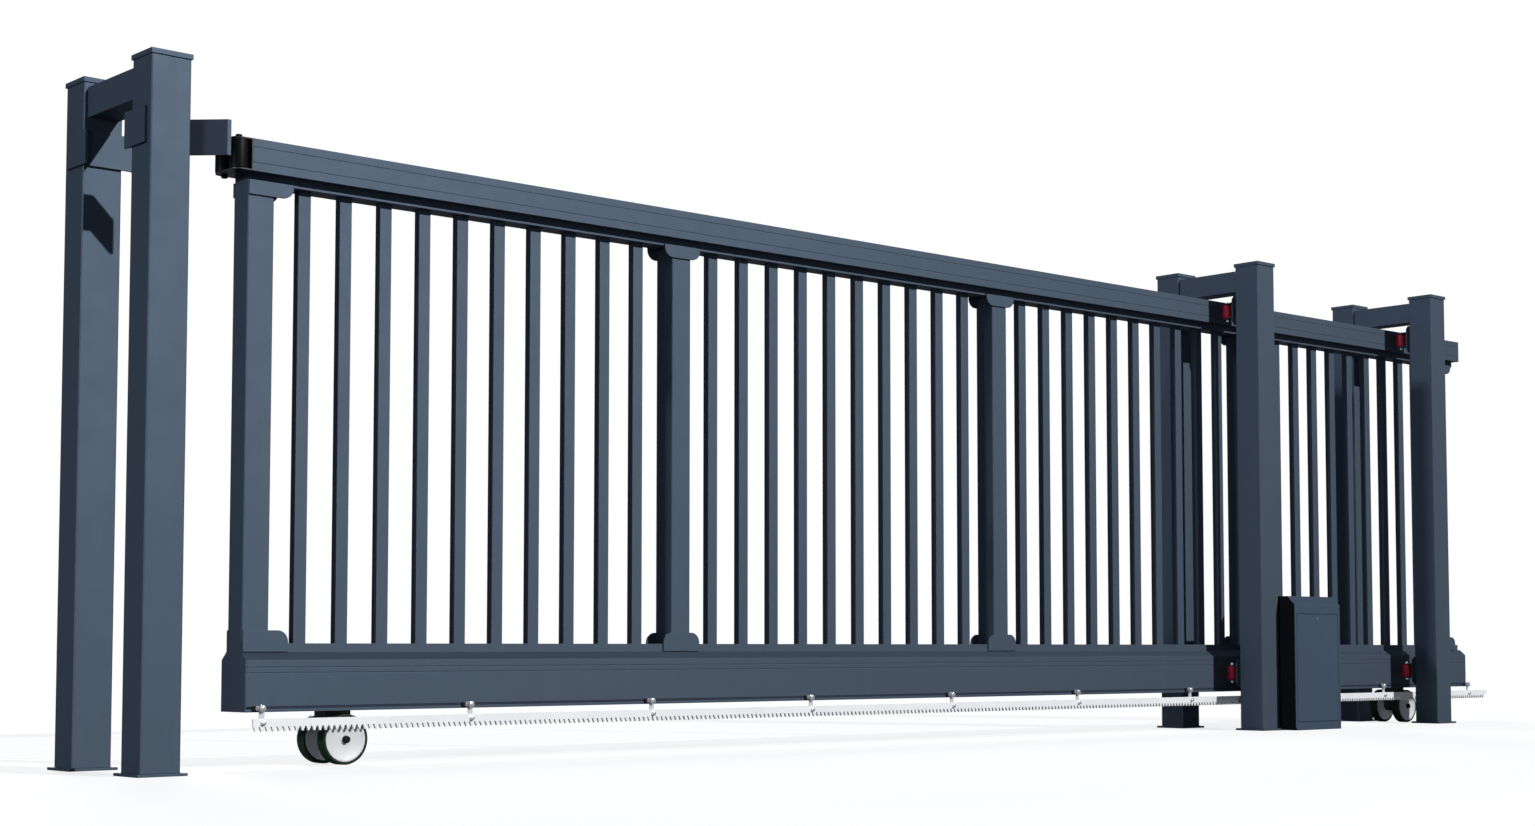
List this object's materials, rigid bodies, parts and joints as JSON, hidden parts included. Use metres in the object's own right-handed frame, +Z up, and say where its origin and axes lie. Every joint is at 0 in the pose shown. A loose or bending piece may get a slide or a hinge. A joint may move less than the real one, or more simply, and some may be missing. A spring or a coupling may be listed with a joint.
{
  "type": "sliding driveway gate",
  "caption": "Sliding driveway gate leaf of upright bars between square posts, on wheels, with a toothed rack, guide rollers, catch plates and a drive cabinet.",
  "frame": {"origin": "centre of the underside of the middle front post's base plate", "axes": "+X along the leaf towards its open position, -Y towards the front with the drive cabinet, +Z up"},
  "size_m": [7.0425, 0.624, 1.9725],
  "materials": {
    "frame_paint": "satin powder coat",
    "bracket_paint": "satin",
    "cabinet_paint": "satin powder coat",
    "black_paint": "satin",
    "zinc_steel": "zinc plated",
    "truck_steel": "satin",
    "wheel": "pale disc with a dark bonded tread",
    "red_roller": "satin",
    "black_plastic": "satin"
  },
  "bodies": {
    "portals": {"left_front_post": "frame_paint", "left_rear_post": "frame_paint", "left_crossbeam": "frame_paint", "middle_front_post": "frame_paint", "middle_rear_post": "frame_paint", "middle_crossbeam": "frame_paint", "right_front_post": "frame_paint", "right_rear_post": "frame_paint", "right_crossbeam": "frame_paint", "base_plates": "frame_paint", "post_caps": "frame_paint", "catch_plate_front": "frame_paint", "catch_plate_rear": "frame_paint", "middle_roller_brackets": "bracket_paint", "right_roller_brackets": "bracket_paint", "drive_cabinet": "cabinet_paint", "cabinet_panel": "cabinet_paint"},
    "leaf": {"bottom_beam": "frame_paint", "beam_end_caps": "frame_paint", "top_rail": "frame_paint", "rail_end_cap": "frame_paint", "leaf_post_1": "frame_paint", "leaf_post_2": "frame_paint", "leaf_post_3": "frame_paint", "leaf_post_4": "frame_paint", "leaf_post_5": "frame_paint", "bars_bay_1": "frame_paint", "bars_bay_2": "frame_paint", "bars_bay_3": "frame_paint", "bars_bay_4": "frame_paint", "foot_gussets": "frame_paint", "head_gussets": "frame_paint", "gear_rack": "zinc_steel", "rack_lugs": "zinc_steel", "wheel_trucks": "truck_steel", "lead_bracket": "black_paint"},
    "left_wheels": {"left_wheels": "wheel"},
    "right_wheels": {"right_wheels": "wheel"},
    "lead_roller_front": {"lead_roller_front": "black_plastic"},
    "lead_roller_rear": {"lead_roller_rear": "black_plastic"},
    "middle_top_roller_front": {"middle_top_roller_front": "red_roller"},
    "middle_top_roller_rear": {"middle_top_roller_rear": "red_roller"},
    "middle_bottom_roller_front": {"middle_bottom_roller_front": "red_roller"},
    "middle_bottom_roller_rear": {"middle_bottom_roller_rear": "red_roller"},
    "right_top_roller_front": {"right_top_roller_front": "red_roller"},
    "right_top_roller_rear": {"right_top_roller_rear": "red_roller"},
    "right_bottom_roller_front": {"right_bottom_roller_front": "red_roller"},
    "right_bottom_roller_rear": {"right_bottom_roller_rear": "red_roller"}
  },
  "joints": [
    {"name": "leaf_slide", "type": "slide", "parent": "portals", "child": "leaf", "axis": [1, 0, 0], "range_m": [-0.3, 4.35]},
    {"name": "left_wheels_spin", "type": "hinge", "parent": "leaf", "child": "left_wheels", "pos_m": [-4.289, 0.22, 0.0753], "axis": [0, 1, 0], "continuous": true},
    {"name": "right_wheels_spin", "type": "hinge", "parent": "leaf", "child": "right_wheels", "pos_m": [1.331, 0.22, 0.0753], "axis": [0, 1, 0], "continuous": true},
    {"name": "lead_roller_front_spin", "type": "hinge", "parent": "leaf", "child": "lead_roller_front", "pos_m": [-4.6495, 0.168, 1.7735], "axis": [0, 0, 1], "continuous": true},
    {"name": "lead_roller_rear_spin", "type": "hinge", "parent": "leaf", "child": "lead_roller_rear", "pos_m": [-4.6495, 0.252, 1.7735], "axis": [0, 0, 1], "continuous": true},
    {"name": "middle_top_roller_front_spin", "type": "hinge", "parent": "portals", "child": "middle_top_roller_front", "pos_m": [-0.039, 0.114, 1.7755], "axis": [0, 0, 1], "continuous": true},
    {"name": "middle_top_roller_rear_spin", "type": "hinge", "parent": "portals", "child": "middle_top_roller_rear", "pos_m": [-0.039, 0.306, 1.7755], "axis": [0, 0, 1], "continuous": true},
    {"name": "middle_bottom_roller_front_spin", "type": "hinge", "parent": "portals", "child": "middle_bottom_roller_front", "pos_m": [-0.039, 0.11175, 0.24], "axis": [0, 0, 1], "continuous": true},
    {"name": "middle_bottom_roller_rear_spin", "type": "hinge", "parent": "portals", "child": "middle_bottom_roller_rear", "pos_m": [-0.039, 0.30825, 0.24], "axis": [0, 0, 1], "continuous": true},
    {"name": "right_top_roller_front_spin", "type": "hinge", "parent": "portals", "child": "right_top_roller_front", "pos_m": [1.2855, 0.114, 1.7755], "axis": [0, 0, 1], "continuous": true},
    {"name": "right_top_roller_rear_spin", "type": "hinge", "parent": "portals", "child": "right_top_roller_rear", "pos_m": [1.2855, 0.306, 1.7755], "axis": [0, 0, 1], "continuous": true},
    {"name": "right_bottom_roller_front_spin", "type": "hinge", "parent": "portals", "child": "right_bottom_roller_front", "pos_m": [1.2855, 0.11175, 0.24], "axis": [0, 0, 1], "continuous": true},
    {"name": "right_bottom_roller_rear_spin", "type": "hinge", "parent": "portals", "child": "right_bottom_roller_rear", "pos_m": [1.2855, 0.30825, 0.24], "axis": [0, 0, 1], "continuous": true}
  ]
}
